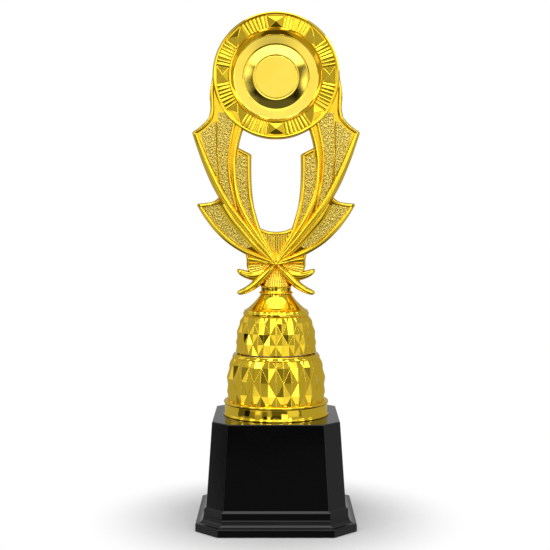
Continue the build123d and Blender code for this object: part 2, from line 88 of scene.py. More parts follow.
def smooth_path(points, steps=8):
    """Catmull-Rom curve through the points, in any number of dimensions."""
    out = []
    last = len(points) - 1
    for i in range(last):
        p0 = points[max(i - 1, 0)]
        p1, p2 = points[i], points[i + 1]
        p3 = points[min(i + 2, last)]
        for k in range(steps):
            t = k / steps
            out.append(tuple(
                0.5 * (2 * b + (c - a) * t + (2 * a - 5 * b + 4 * c - d) * t * t
                       + (3 * b - a - 3 * c + d) * t ** 3)
                for a, b, c, d in zip(p0, p1, p2, p3)))
    out.append(tuple(points[-1]))
    return out


def turn_profile(bm, profile, axis="z", centre_z=0.0, sides=128, ripple=None):
    """Revolve a closed profile of (radius, height) pairs. ripple(angle, radius, height) shifts a point."""
    rings = []
    for k in range(sides):
        angle = 2 * math.pi * k / sides
        ring = []
        for radius, height in profile:
            r, h = (radius, height) if ripple is None else ripple(angle, radius, height)
            if axis == "z":
                ring.append(bm.verts.new((r * math.cos(angle), r * math.sin(angle), h)))
            else:
                ring.append(bm.verts.new((r * math.cos(angle), h, centre_z + r * math.sin(angle))))
        rings.append(ring)
    count = len(profile)
    for k in range(sides):
        a, b = rings[k], rings[(k + 1) % sides]
        for i in range(count):
            j = (i + 1) % count
            quad = []
            for vertex in (a[i], b[i], b[j], a[j]):
                if all((vertex.co - other.co).length > 1e-6 for other in quad):
                    quad.append(vertex)
            if len(quad) > 2:
                bm.faces.new(quad)


def rounded(points, radius, steps=3, closed=True):
    """Round the corners of a profile with short arcs."""
    out = []
    count = len(points)
    for i, p in enumerate(points):
        if not closed and i in (0, count - 1):
            out.append(p)
            continue
        p = Vector(p)
        to_last = Vector(points[i - 1]) - p
        to_next = Vector(points[(i + 1) % count]) - p
        cut = min(radius, to_last.length * 0.45, to_next.length * 0.45)
        start, end = p + to_last.normalized() * cut, p + to_next.normalized() * cut
        for k in range(steps + 1):
            t = k / steps
            q = start * (1 - t) ** 2 + p * 2 * t * (1 - t) + end * t * t
            out.append((q.x, q.y))
    return out


BAR_BACK = 1.0                 # distance of the bars' hidden backs from the parting plane


def bar(bm, path, widths, foot, crest, power, arc=8):
    """A raised bar along a path in the x, z plane, on the front side.

    path: (x, z) points; widths: full width at each; foot: distance in front of the parting plane of
    the bar's edges; crest: the same of its crest, a number or one per point; power < 1 flattens the
    top; arc: steps across the bar."""
    crests = crest if isinstance(crest, list) else [crest] * len(path)
    samples = smooth_path([(*p, width, high) for p, width, high in zip(path, widths, crests)])
    rings = []
    for i, (x, z, width, high) in enumerate(samples):
        x0, z0 = samples[max(i - 1, 0)][:2]
        x1, z1 = samples[min(i + 1, len(samples) - 1)][:2]
        length = math.hypot(x1 - x0, z1 - z0)
        # half the bar's width, square to the path
        nx, nz = -(z1 - z0) / length * width / 2, (x1 - x0) / length * width / 2
        ring = [bm.verts.new((x - nx, -BAR_BACK, z - nz))]
        for k in range(arc + 1):
            across = -math.cos(math.pi * k / arc)
            rise = max(0.0, 1 - across ** 2) ** (0.5 * power)
            ring.append(bm.verts.new((x + nx * across, -(foot + (high - foot) * rise), z + nz * across)))
        ring.append(bm.verts.new((x + nx, -BAR_BACK, z + nz)))
        rings.append(ring)
    for a, b in zip(rings, rings[1:]):
        for i in range(len(a)):
            j = (i + 1) % len(a)
            bm.faces.new((a[i], b[i], b[j], a[j]))
    bm.faces.new(rings[0])
    bm.faces.new(rings[-1][::-1])


def add_mirror_x(bm):
    """Copy everything in the bmesh to the other side of x = 0."""
    copy = bmesh.ops.duplicate(bm, geom=bm.verts[:] + bm.edges[:] + bm.faces[:])["geom"]
    for item in copy:
        if isinstance(item, bmesh.types.BMVert):
            item.co.x = -item.co.x
    bmesh.ops.reverse_faces(bm, faces=[item for item in copy if isinstance(item, bmesh.types.BMFace)])


def inside(point, polygon):
    """Whether an (x, z) point lies in a polygon."""
    x, z = point
    hit = False
    for (x0, z0), (x1, z1) in zip(polygon, polygon[1:] + polygon[:1]):
        if (z0 > z) != (z1 > z) and x < (x1 - x0) * (z - z0) / (z1 - z0) + x0:
            hit = not hit
    return hit


def nearest_on_loop(point, loop):
    """Distance to the nearest point on a closed loop of (x, z) points, and that point."""
    best = (math.inf, point)
    for (ax, az), (bx, bz) in zip(loop, loop[1:] + loop[:1]):
        length = (bx - ax) ** 2 + (bz - az) ** 2
        t = max(0.0, min(1.0, ((point[0] - ax) * (bx - ax) + (point[1] - az) * (bz - az)) / length))
        q = (ax + t * (bx - ax), az + t * (bz - az))
        best = min(best, (math.hypot(point[0] - q[0], point[1] - q[1]), q))
    return best


GRAIN_SPREAD = 1.25            # mean distance between grains
GRAIN_SIZES = (0.22, 0.42)     # radius of the smallest and of the largest grain, as a share of the spread
FIELD_BACK = 1.2               # distance of the fields' hidden backs from the parting plane


def stippled_field(bm, polygon, floor, height, pitch, margin=0.0):
    """A closed plate over a polygon, less a margin, whose front is covered with small raised grains.

    floor(x, z): distance of the plate's front from the parting plane; height: height of the largest
    grains; pitch: size of the mesh's squares."""
    grains = {}

    def grain_height(x, z):
        col, row = math.floor(x / GRAIN_SPREAD), math.floor(z / GRAIN_SPREAD)
        best = 0.0
        for i in (col - 1, col, col + 1):
            for j in (row - 1, row, row + 1):
                if (i, j) not in grains:
                    grains[i, j] = (i + random.random(), j + random.random(), random.uniform(*GRAIN_SIZES))
                gx, gz, size = grains[i, j]
                d = math.hypot(x - gx * GRAIN_SPREAD, z - gz * GRAIN_SPREAD) / size
                if d < 1:
                    best = max(best, (1 - d * d) * size / GRAIN_SIZES[1])
        return best

    def front(x, z):
        return -(floor(x, z) + height * grain_height(x, z))

    left, low = min(x for x, z in polygon), min(z for x, z in polygon)
    columns = int((max(x for x, z in polygon) - left) / pitch) + 2
    rows = int((max(z for x, z in polygon) - low) / pitch) + 2
    squares = []
    for i in range(columns):
        for j in range(rows):
            centre = (left + (i + 0.5) * pitch, low + (j + 0.5) * pitch)
            if inside(centre, polygon) and (not margin or nearest_on_loop(centre, polygon)[0] > margin):
                squares.append((i, j))
    kept = set(squares)
    grid = {}
    for i, j in squares:
        for a, b in ((i, j), (i + 1, j), (i + 1, j + 1), (i, j + 1)):
            if (a, b) in grid:
                continue
            x, z = left + a * pitch, low + b * pitch
            if margin and not {(a, b), (a - 1, b), (a, b - 1), (a - 1, b - 1)} <= kept:
                # border points slide onto the margin's edge, which makes the border smooth
                gap, (qx, qz) = nearest_on_loop((x, z), polygon)
                if gap > 1e-6 and abs(margin - gap) < 0.8 * pitch and inside((x, z), polygon):
                    x, z = qx + (x - qx) * margin / gap, qz + (z - qz) * margin / gap
            grid[a, b] = (bm.verts.new((x, front(x, z), z)), bm.verts.new((x, -FIELD_BACK, z)))
    for i, j in squares:
        ring = [grid[i, j], grid[i + 1, j], grid[i + 1, j + 1], grid[i, j + 1]]
        bm.faces.new([pair[0] for pair in ring])
        bm.faces.new([pair[1] for pair in ring[::-1]])
        for step, (a, b) in (((0, -1), (0, 1)), ((1, 0), (1, 2)), ((0, 1), (2, 3)), ((-1, 0), (3, 0))):
            if (i + step[0], j + step[1]) not in kept:
                bm.faces.new((ring[a][0], ring[a][1], ring[b][1], ring[b][0]))


def plate(bm, loops, depth, bevel, drop):
    """A flat plate bounded by loops of (x, z) points, from y = 0 to y = -depth.

    Its front edge slopes over a width of bevel and a depth of drop."""
    data = bpy.data.curves.new("plate", "CURVE")
    data.dimensions = "2D"
    data.fill_mode = "BOTH"
    for loop in loops:
        spline = data.splines.new("POLY")
        spline.points.add(len(loop) - 1)
        for point, (x, z) in zip(spline.points, loop):
            point.co = (x, z, 0, 1)
        spline.use_cyclic_u = True
    data.extrude = depth / 2 - bevel / 2
    data.bevel_depth = bevel
    data.bevel_resolution = 0
    data.offset = -bevel
    holder = bpy.data.objects.new("plate", data)
    bpy.context.scene.collection.objects.link(holder)
    mesh = bpy.data.meshes.new_from_object(holder)
    bpy.data.objects.remove(holder)
    start = len(bm.verts)
    bm.from_mesh(mesh)
    bm.verts.ensure_lookup_table()
    for vertex in bm.verts[start:]:
        x, z, h = vertex.co
        # the curve's two faces become the parting plane and the front
        vertex.co = (x, 0.0 if h < 0 else -depth if h > depth / 2 - bevel / 4 else -depth + drop, z)
    bpy.data.meshes.remove(mesh)


# ------------------------------------------------------------------ materials
def new_material(name):
    """A node material with its Principled shader."""
    material = bpy.data.materials.new(name)
    material.use_nodes = True
    nodes, links = material.node_tree.nodes, material.node_tree.links
    return material, nodes, links, nodes["Principled BSDF"]


def object_noise(nodes, links, scale, detail):
    """Noise in object space; scale is in features per metre."""
    place = nodes.new("ShaderNodeTexCoord")
    noise = nodes.new("ShaderNodeTexNoise")
    noise.inputs["Scale"].default_value = scale
    noise.inputs["Detail"].default_value = detail
    links.new(place.outputs["Object"], noise.inputs["Vector"])
    return noise


def ramp(nodes, links, source, low, high, start=0.35, end=0.65):
    """Map a value to a colour range."""
    node = nodes.new("ShaderNodeValToRGB")
    node.color_ramp.elements[0].position = start
    node.color_ramp.elements[0].color = low
    node.color_ramp.elements[1].position = end
    node.color_ramp.elements[1].color = high
    links.new(source, node.inputs["Fac"])
    return node


def grey(value):
    """A neutral colour."""
    return (value, value, value, 1.0)


def bump(nodes, links, shader, source, strength, distance):
    """Feed a height into the shader's normal."""
    node = nodes.new("ShaderNodeBump")
    node.inputs["Strength"].default_value = strength
    node.inputs["Distance"].default_value = distance * MM
    links.new(source, node.inputs["Height"])
    links.new(node.outputs["Normal"], shader.inputs["Normal"])


def metallised_gold(name, deep, bright, rough_low, rough_high, waviness=0.02, wave_scale=60):
    """Vacuum-metallised plastic: mirror gold with faint flow waves and patches of haze."""
    material, nodes, links, shader = new_material(name)
    shader.inputs["Metallic"].default_value = 1.0
    colour = object_noise(nodes, links, 45, 2)
    tint = ramp(nodes, links, colour.outputs["Fac"], (*deep, 1.0), (*bright, 1.0))
    links.new(tint.outputs["Color"], shader.inputs["Base Color"])
    haze = object_noise(nodes, links, 900, 4)
    gloss = ramp(nodes, links, haze.outputs["Fac"], grey(rough_low), grey(rough_high), 0.45, 0.75)
    links.new(gloss.outputs["Color"], shader.inputs["Roughness"])
    waves = object_noise(nodes, links, wave_scale, 1)
    bump(nodes, links, shader, waves.outputs["Fac"], waviness, 1.0)
    shader.inputs["Coat Weight"].default_value = 0.45
    shader.inputs["Specular Tint"].default_value = (1.0, 0.86, 0.42, 1)
    shader.inputs["Coat Roughness"].default_value = 0.04
    return material


def black_gloss(name):
    """Polished black moulding with a faint orange-peel surface and fine dust marks."""
    material, nodes, links, shader = new_material(name)
    speck = object_noise(nodes, links, 1800, 6)
    tint = ramp(nodes, links, speck.outputs["Fac"], grey(0.0004), grey(0.0015), 0.55, 0.75)
    links.new(tint.outputs["Color"], shader.inputs["Base Color"])
    smear = object_noise(nodes, links, 35, 5)
    gloss = ramp(nodes, links, smear.outputs["Fac"], grey(0.05), grey(0.10))
    links.new(gloss.outputs["Color"], shader.inputs["Roughness"])
    peel = object_noise(nodes, links, 420, 1)
    bump(nodes, links, shader, peel.outputs["Fac"], 0.02, 0.3)
    shader.inputs["Specular IOR Level"].default_value = 0.42
    return material


def matt_black(name, grain, low, high, metallic=0.0):
    """Dull dark surface with a visible grain: rubber, rough moulding or cast iron."""
    material, nodes, links, shader = new_material(name)
    shader.inputs["Metallic"].default_value = metallic
    noise = object_noise(nodes, links, grain, 6)
    tint = ramp(nodes, links, noise.outputs["Fac"], (*low, 1), (*high, 1))
    links.new(tint.outputs["Color"], shader.inputs["Base Color"])
    gloss = ramp(nodes, links, noise.outputs["Fac"], grey(0.55), grey(0.8))
    links.new(gloss.outputs["Color"], shader.inputs["Roughness"])
    bump(nodes, links, shader, noise.outputs["Fac"], 0.4, 0.2)
    return material


def plated_steel(name, pitch):
    """Zinc-plated steel with fine turned lines; pitch is the spacing of the lines in millimetres."""
    material, nodes, links, shader = new_material(name)
    shader.inputs["Metallic"].default_value = 1.0
    noise = object_noise(nodes, links, 700, 4)
    tint = ramp(nodes, links, noise.outputs["Fac"], (0.42, 0.42, 0.44, 1), (0.66, 0.66, 0.68, 1))
    links.new(tint.outputs["Color"], shader.inputs["Base Color"])
    place = nodes.new("ShaderNodeTexCoord")
    wave = nodes.new("ShaderNodeTexWave")
    wave.bands_direction = "Z"
    wave.inputs["Scale"].default_value = 1 / (pitch * MM) / 20
    links.new(place.outputs["Object"], wave.inputs["Vector"])
    bump(nodes, links, shader, wave.outputs["Fac"], 0.5, 0.2)
    shader.inputs["Roughness"].default_value = 0.32
    return material


def grained_gold_pit_shaded(name, light, pit_shade, pit_shade_share, metallic, rough):
    """Satin plating of the sunk fields: fine grain, with painted shade in its pits, dark brown specks laid
    into the base colour.
    """
    material, nodes, links, shader = new_material(name)
    grain = object_noise(nodes, links, 1500, 3)
    # painted shade: the noise's low end turns the base colour dark brown, as shade in the pits would look
    tint = ramp(nodes, links, grain.outputs["Fac"], (*pit_shade, 1), (*light, 1), 0.5 - pit_shade_share, 0.56 - pit_shade_share)
    links.new(tint.outputs["Color"], shader.inputs["Base Color"])
    shader.inputs["Metallic"].default_value = metallic
    shader.inputs["Roughness"].default_value = rough
    coarse = object_noise(nodes, links, 1100, 2)
    bump(nodes, links, shader, coarse.outputs["Fac"], 0.22, 0.35)
    return material


GOLD = metallised_gold("gold_mirror", (0.91, 0.605, 0.014), (0.95, 0.665, 0.022), 0.03, 0.08)
GOLD_DISH = metallised_gold("gold_dish", (0.90, 0.66, 0.06), (0.95, 0.72, 0.09), 0.04, 0.08, 0.006, 25)
# the second colour is painted pit shade, a dark brown laid into the satin fields' base colour
GOLD_STIPPLE = grained_gold_pit_shaded("gold_satin", (0.94, 0.72, 0.13), (0.26, 0.15, 0.005), 0.06, 0.65, 0.28)
GOLD_FAN = metallised_gold("gold_fan", (0.92, 0.66, 0.06), (0.95, 0.72, 0.09), 0.16, 0.24, 0.01, 300)
BLACK = black_gloss("black_gloss")
COVER = matt_black("cover_matt", 900, (0.012, 0.012, 0.012), (0.03, 0.03, 0.03))
RUBBER = matt_black("pad_rubber", 2400, (0.01, 0.01, 0.01), (0.035, 0.035, 0.035))
IRON = matt_black("ballast_iron", 600, (0.08, 0.075, 0.07), (0.2, 0.19, 0.18), 0.7)
STEEL = plated_steel("plated_steel", 0.8)
GOLD_SLOT, EMBLEM_SLOT, BLACK_SLOT = "gold_plated_plastic", "gold_emblem", "black_plastic"

CARRIED_OVER = {
    "pedestal_shell": BLACK, "bottom_cover": COVER, "ballast_weight": IRON, "foot_pads": RUBBER,
    "cover_screws": STEEL, "tie_rod": STEEL, "clamp_washer": STEEL, "spring_washer": STEEL,
    "clamp_nut": STEEL, "captive_nut": STEEL}
for node, material in CARRIED_OVER.items():
    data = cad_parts[node].data
    data.materials.clear()
    data.materials.append(material)


def stands_for(obj, body, slot, *nodes):
    """Parent a piece to its body and hide the CAD nodes that it replaces. The slot, naming its finish, is not
    used.
    """
    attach(obj, body)
    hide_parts(*nodes)


def bevelled(obj, width, segments=2, angle=30):
    """Round the edges of an object slightly, as a moulding's are."""
    modifier = obj.modifiers.new("rounded_edges", "BEVEL")
    modifier.width = width * MM
    modifier.segments = segments
    modifier.limit_method = "ANGLE"
    modifier.angle_limit = math.radians(angle)
    modifier.harden_normals = True


def turned(name, profiles, smooth_angle):
    """A gold piece turned about the trophy's axis from closed profiles of (radius, z) points."""
    bm = bmesh.new()
    for profile in profiles:
        turn_profile(bm, profile)
    return mesh_object(name, bm, GOLD, smooth_angle)


# ------------------------------------------------------------------ column
FACETS = 20                    # diamonds in one row
# rows of diamonds: height and radius of their crests
LOWER_ROWS = [(67.6, 28.9), (75.4, 29.3), (83.1, 29.3), (91.4, 27.9), (99.6, 24.6)]
UPPER_ROWS = [(98.2, 23.9), (104.2, 24.0), (110.2, 23.3), (116.4, 21.7), (122.6, 18.0)]


def facet_drum(name, rows, low, high, sink):
    """Rows of four-sided pyramids on a diamond lattice, cut off flat at heights low and high.

    rows: (height, crest radius); odd and even rows have their crests half a step apart, and the
    lattice's other points lie deeper by sink."""
    bm = bmesh.new()
    count = 2 * FACETS
    grid = []
    for j, (z, crest) in enumerate(rows):
        ring = []
        for k in range(count):
            r = crest if (k + j) % 2 == 0 else crest - sink
            angle = k * math.pi / FACETS - math.pi / 2
            ring.append(bm.verts.new((r * math.cos(angle), r * math.sin(angle), z)))
        grid.append(ring)
    for j in range(len(rows) - 1):
        for k in range(count):
            a, b = grid[j][k], grid[j][(k + 1) % count]
            c, d = grid[j + 1][(k + 1) % count], grid[j + 1][k]
            # each facet runs from a crest to the two valley corners next to it
            if (k + j) % 2 == 0:
                bm.faces.new((a, b, d))
                bm.faces.new((b, c, d))
            else:
                bm.faces.new((a, b, c))
                bm.faces.new((a, c, d))
    for z, clear_outer in ((low, False), (high, True)):
        bmesh.ops.bisect_plane(bm, geom=bm.verts[:] + bm.edges[:] + bm.faces[:], plane_co=(0, 0, z),
                               plane_no=(0, 0, 1), clear_outer=clear_outer, clear_inner=not clear_outer)
        rim = [edge for edge in bm.edges if len(edge.link_faces) == 1
               and all(abs(vertex.co.z - z) < 1e-4 for vertex in edge.verts)]
        bmesh.ops.contextual_create(bm, geom=rim)
    return mesh_object(name, bm, GOLD)


def lower_tier():
    """Faceted drum with a plain lipped band at its foot and a lip at its top."""
    drum = facet_drum("lower_tier_facets", LOWER_ROWS, 69.3, 95.7, 1.15)
    bevelled(drum, 0.16)
    foot = [(24.0, PLINTH_TOP), (31.2, PLINTH_TOP), (31.2, PLINTH_TOP + 0.9), (30.7, PLINTH_TOP + 1.4),
            (30.4, 68.1), (31.0, 68.5), (31.0, 69.4), (30.2, 69.8), (28.6, 69.9), (24.0, 69.9)]
    lip = [(20.0, 94.6), (25.6, 94.6), (26.0, 95.0), (26.0, 95.6), (25.3, LOWER_TOP - 0.35),
           (24.8, LOWER_TOP - 0.05), (20.0, LOWER_TOP - 0.05)]
    bands = turned("lower_tier_bands", [rounded(foot, 0.35), rounded(lip, 0.35)], 40)
    for piece in (drum, bands):
        stands_for(piece, "column", GOLD_SLOT, "column_lower_tier")


def upper_tier():
    """Narrower faceted drum."""
    drum = facet_drum("upper_tier_facets", UPPER_ROWS, LOWER_TOP - 0.02, UPPER_TOP - 0.2, 0.95)
    bevelled(drum, 0.14)
    stands_for(drum, "column", GOLD_SLOT, "column_upper_tier")


def flared_cap():
    """Upright rim and a flare that narrows to the neck."""
    rim = [(16.0, UPPER_TOP - 0.3), (18.9, UPPER_TOP - 0.3), (19.5, UPPER_TOP + 0.3), (19.5, 121.6),
           (18.9, 122.1), (18.9, 122.7)]
    flare = [(18.8, 122.9), (16.9, 123.9), (14.5, 126.0), (12.0, 128.5), (10.2, 130.7), (9.3, CAP_TOP - 0.1)]
    hollow = [(2.7, CAP_TOP - 0.1), (2.7, 126.0), (16.0, 121.0)]
    cap = turned("flared_cap", [rounded(rim, 0.3, closed=False) + smooth_path(flare, 6) + hollow], 35)
    stands_for(cap, "column", GOLD_SLOT, "column_cap")


def neck_collar():
    """Collar with a flange at its foot and a bead at its top."""
    profile = [(2.8, CAP_TOP + 0.02), (9.2, CAP_TOP + 0.02), (10.05, CAP_TOP + 0.5), (10.05, CAP_TOP + 1.2),
               (9.3, CAP_TOP + 1.6), (8.9, CAP_TOP + 1.9), (8.9, 136.4), (9.15, 136.8),
               (9.15, COLLAR_TOP - 0.1), (8.4, COLLAR_TOP + 0.05), (2.8, COLLAR_TOP + 0.05)]
    collar = turned("neck_collar_ring", [rounded(profile, 0.3)], 35)
    stands_for(collar, "figure", GOLD_SLOT, "neck_collar")


lower_tier()
upper_tier()
flared_cap()
neck_collar()

# ------------------------------------------------------------------ medallion
STUDS = 8
STUD_HALF_ANGLE = math.radians(8.9)
FLUTES = 7                     # between two studs
FLUTE_HEIGHT = 0.42
RECESS_R, LIP_IN, LIP_OUT = 27.0, 27.9, 35.7
FACE_Y, LIP_Y, STUD_Y = -6.0, -7.0, -8.2
DISH_FLOOR_Y = 4.0
ROUND_SIDES = 192


def medallion_turned(name, profile, material, smooth_angle, sides=ROUND_SIDES, ripple=None):
    """A piece turned about the medallion's axis from a closed profile of (radius, y) points."""
    bm = bmesh.new()
    turn_profile(bm, profile, "y", MEDALLION_Z, sides, ripple)
    return mesh_object(name, bm, material, smooth_angle)


def flute_ripple(angle, radius, height):
    """Push the bezel's face out into radial flutes between the studs."""
    pitch = 2 * math.pi / STUDS
    local = (angle + pitch / 2) % pitch - pitch / 2
    free = pitch / 2 - STUD_HALF_ANGLE
    if LIP_IN + 0.2 < radius < LIP_OUT - 0.2 and height < FACE_Y + 0.5:
        across = (pitch / 2 - abs(local)) / free
        if across < 1:
            phase = (local % pitch - STUD_HALF_ANGLE) / (2 * free) * FLUTES
            return radius, height - FLUTE_HEIGHT * abs(math.sin(math.pi * phase)) ** 0.35
    return radius, height


def bezel_ring():
    """Fluted ring between two lips, with a groove round its outside."""
    inner_lip = [(RECESS_R, -5.4), (RECESS_R, -6.7), (RECESS_R + 0.15, -6.93), (RECESS_R + 0.45, LIP_Y),
                 (LIP_IN - 0.1, -6.85), (LIP_IN, FACE_Y)]
    face = [(LIP_IN + 0.3 + (LIP_OUT - LIP_IN - 0.6) * k / 6, FACE_Y) for k in range(7)]
    outer_lip = [(LIP_OUT, FACE_Y), (LIP_OUT + 0.15, -6.9), (LIP_OUT + 0.4, LIP_Y), (36.8, LIP_Y),
                 (37.3, -6.7), (37.5, -6.2)]
    groove = [(37.4, -4.6), (37.1, -4.4), (37.1, -4.0), (37.4, -3.8), (37.5, -3.3), (37.3, -3.0)]
    hidden = [(29.3, -3.0), (29.3, -5.3)]
    bezel = medallion_turned("medallion_bezel_ring", inner_lip + face + outer_lip + groove + hidden, GOLD, 30,
                             STUDS * 96, flute_ripple)
    stands_for(bezel, "figure", GOLD_SLOT, "medallion_bezel")


def bezel_studs():
    """Four-sided pyramids between the fluted stretches."""
    inner, outer, tip = 28.1, 35.5, 31.6
    bm = bmesh.new()
    for k in range(STUDS):
        angle = k * 2 * math.pi / STUDS
        corners = []
        for radius, turn in ((inner, -0.96), (outer, -1.0), (outer, 1.0), (inner, 0.96)):
            a = angle + turn * STUD_HALF_ANGLE
            corners.append((radius * math.cos(a), radius * math.sin(a)))
        low = [bm.verts.new((x, -5.2, MEDALLION_Z + z)) for x, z in corners]
        edge = [bm.verts.new((x, FACE_Y - 0.15, MEDALLION_Z + z)) for x, z in corners]
        top = bm.verts.new((tip * math.cos(angle), STUD_Y, MEDALLION_Z + tip * math.sin(angle)))
        bm.faces.new(low)
        for i in range(4):
            j = (i + 1) % 4
            bm.faces.new((low[i], low[j], edge[j], edge[i]))
            bm.faces.new((edge[i], edge[j], top))
    studs = mesh_object("medallion_studs", bm, GOLD)
    bevelled(studs, 0.14)
    stands_for(studs, "figure", GOLD_SLOT, "medallion_bezel")


def dish_bowl():
    """Deep dish: flat middle, sloping ring, flat ring and steep wall."""
    floor = DISH_FLOOR_Y
    middle = [(0.0, floor), (12.9, floor), (13.1, floor - 0.42)]
    slope = [(13.2 + 6.3 * t / 8, floor - 0.45 + 0.6 * (t / 8) ** 1.1) for t in range(9)]
    # points close to each edge keep the flat ring flat under smooth shading
    flat = [(19.6, floor + 0.12), (19.72, floor - 0.1), (19.95, floor - 0.43), (20.15, floor - 0.45),
            (24.9, floor - 0.45), (25.1, floor - 0.47), (25.4, floor - 0.6), (25.6, floor - 1.0)]
    wall = [(26.75, -5.2), (26.95, -5.7), (28.9, -5.7), (28.9, 5.2), (0.0, 5.2)]
    dish = medallion_turned("medallion_dish_bowl", middle + slope + flat + wall, GOLD_DISH, 25)
    stands_for(dish, "figure", GOLD_SLOT, "medallion_dish")


def emblem_blank():
    """Plain round blank in the middle of the dish."""
    profile = [(0.0, 3.45), (12.4, 3.45), (12.65, 3.45), (12.95, 3.55), (13.05, 3.7), (13.05, 4.02),
               (0.0, 4.02)]
    emblem = medallion_turned("emblem_blank", profile, GOLD_DISH, 40)
    stands_for(emblem, "figure", EMBLEM_SLOT, "emblem_disc")


def back_plate():
    """Stepped plate that closes the medallion behind."""
    profile = [(0.0, 5.9), (29.0, 5.9), (31.0, 3.0), (37.4, 3.0), (37.4, 5.9), (36.9, 6.7), (35.9, 6.7),
               (35.4, 6.1), (29.6, 6.1), (29.0, 6.9), (27.4, 7.1), (26.8, 6.6), (14.0, 6.6), (13.4, 7.3),
               (0.0, 7.3)]
    back = medallion_turned("medallion_back_plate", rounded(profile, 0.3, closed=False), GOLD, 30)
    stands_for(back, "figure", GOLD_SLOT, "medallion_back")


bezel_ring()
bezel_studs()
dish_bowl()
emblem_blank()
back_plate()

# ------------------------------------------------------------------ figure
# Everything is drawn on the right-hand wing of the front half as (x, z), then mirrored to the left
# and to the back.
STEM_FOOT = (7.4, COLLAR_TOP)
TAILS = [(9.3, 137.6), (13.3, 134.9), (17.3, 132.9), (21.7, 131.95), (23.1, 132.6), (23.0, 133.8),
         (22.2, 134.4), (18.4, 135.8), (13.5, 140.0), (17.4, 141.9), (21.8, 144.4), (23.2, 145.9),
         (23.1, 147.0), (22.2, 147.3), (18.6, 146.4), (16.4, 145.6)]
BOW_SIDE = [(16.4, 145.6), (16.3, 147.2), (17.3, 149.0), (17.4, 151.4), (17.3, 153.6), (18.2, 156.1)]
LOW_EDGE = [(18.2, 156.1), (27.0, 161.1), (33.0, 166.3), (37.7, 171.5), (42.7, 177.9), (46.9, 184.9)]
LOW_TOP = [(46.5, 186.0), (41.0, 186.5), (37.1, 187.4), (34.2, 189.6)]
HIGH_EDGE = [(34.2, 189.6), (38.7, 198.0), (43.0, 208.1), (45.5, 214.8), (48.1, 222.5), (49.8, 227.8)]
HIGH_TOP = [(49.2, 228.8), (45.8, 231.1), (42.4, 234.2), (39.9, 237.2)]
SHOULDER = [(39.9, 237.2), (39.0, 243.0), (39.4, 251.0), (37.6, 262.6)]
FOOT_ARC = [(0.0, 169.2), (5.0, 169.8), (9.7, 171.6)]
OPENING = [(9.7, 171.6), (11.9, 178.5), (13.4, 186.6), (14.4, 196.0), (14.7, 206.0), (14.6, 214.7)]
STEP = [(14.9, 215.3), (22.0, 219.0)]
OPENING_TOP = [(22.4, 219.4), (21.2, 224.3), (19.2, 231.0)]


def arc(centre_z, radius, start, end, count):
    """Points on a circle about the medallion's axis, angles in degrees from +x."""
    return [(radius * math.cos(math.radians(start + (end - start) * k / count)),
             centre_z + radius * math.sin(math.radians(start + (end - start) * k / count)))
            for k in range(count + 1)]


def both_sides(right):
    """Close a half outline, which starts and ends on x = 0, with its mirror image."""
    return right + [(-x, z) for x, z in right[::-1] if abs(x) > 1e-6]


def no_repeats(points):
    """The loop without points that repeat the next one."""
    return [p for p, q in zip(points, points[1:] + points[:1]) if math.dist(p, q) > 1e-3]


RING_R = MEDALLION_RADIUS - 0.5
half_outline = ([(0.0, STEM_FOOT[1]), STEM_FOOT] + rounded(TAILS, 0.5, 2, closed=False)
                + smooth_path(BOW_SIDE, 4)[1:] + smooth_path(LOW_EDGE, 5)[1:] + smooth_path(LOW_TOP, 4)
                + smooth_path(HIGH_EDGE, 5)[1:] + smooth_path(HIGH_TOP, 4) + smooth_path(SHOULDER, 5)[1:]
                + arc(MEDALLION_Z, RING_R, 3, 90, 40))
half_opening = (smooth_path(FOOT_ARC, 4) + smooth_path(OPENING, 5)[1:] + STEP + smooth_path(OPENING_TOP, 4)
                + arc(MEDALLION_Z, RING_R, -57, -90, 12))
# both end exactly on the line of symmetry
half_outline[-1] = (0.0, half_outline[-1][1])
half_opening[-1] = (0.0, half_opening[-1][1])
OUTLINE_LOOP = no_repeats(both_sides(half_outline))
OPENING_LOOP = no_repeats(both_sides(half_opening))

# bars: path, widths and crest; each ends under the knot
KNOT = (0.0, 150.3)
HIGH_BORDER = [(47.6, 227.2), (44.9, 219.8), (40.7, 209.2), (35.0, 197.0), (29.8, 187.7), (24.4, 179.9),
               (17.6, 171.3), (11.5, 163.7), (5.4, 157.0), KNOT]
LOW_BORDER = [(44.6, 183.9), (39.7, 176.6), (33.6, 169.5), (26.6, 163.2), (17.6, 157.6), (8.4, 153.7),
              (0.0, 150.7)]
MAIN_INNER = [(24.4, 234.5), (26.9, 222.2), (28.1, 211.5), (27.3, 199.5), (25.4, 190.4), (23.2, 182.0)]
SPINE = [(20.6, 231.5), (23.2, 222.0), (24.9, 211.0), (24.6, 199.5), (22.9, 189.6), (19.2, 180.5),
         (14.6, 172.4), (8.6, 163.6), (0.4, 152.0)]
OPENING_BORDER = [(16.2, 214.0), (16.3, 206.0), (16.1, 197.0), (15.2, 187.8), (12.9, 178.2), (10.2, 169.6),
                  (6.1, 162.0), (0.2, 152.8)]
RIBBON = [(31.8, 185.2), (26.8, 177.0), (20.6, 169.6), (14.5, 162.9), (7.8, 156.6), (0.3, 150.8)]
RIB = [(35.4, 234.5), (34.9, 226.0), (34.3, 212.0), (33.6, 201.5)]
HIGH_TOP_BORDER = [(47.9, 228.0), (44.6, 230.3), (41.2, 233.3), (38.5, 236.9), (37.6, 241.0), (37.7, 246.0),
                   (38.0, 252.0), (37.0, 259.0)]
LOW_TOP_BORDER = [(44.9, 184.8), (40.6, 185.1), (37.0, 186.0), (33.6, 188.2)]
STEP_BORDER = [(16.1, 214.3), (21.8, 217.4)]
FAN_RIM = [(-9.6, 170.2), (-5.2, 168.5), (0.0, 167.9), (5.2, 168.5), (9.6, 170.2)]

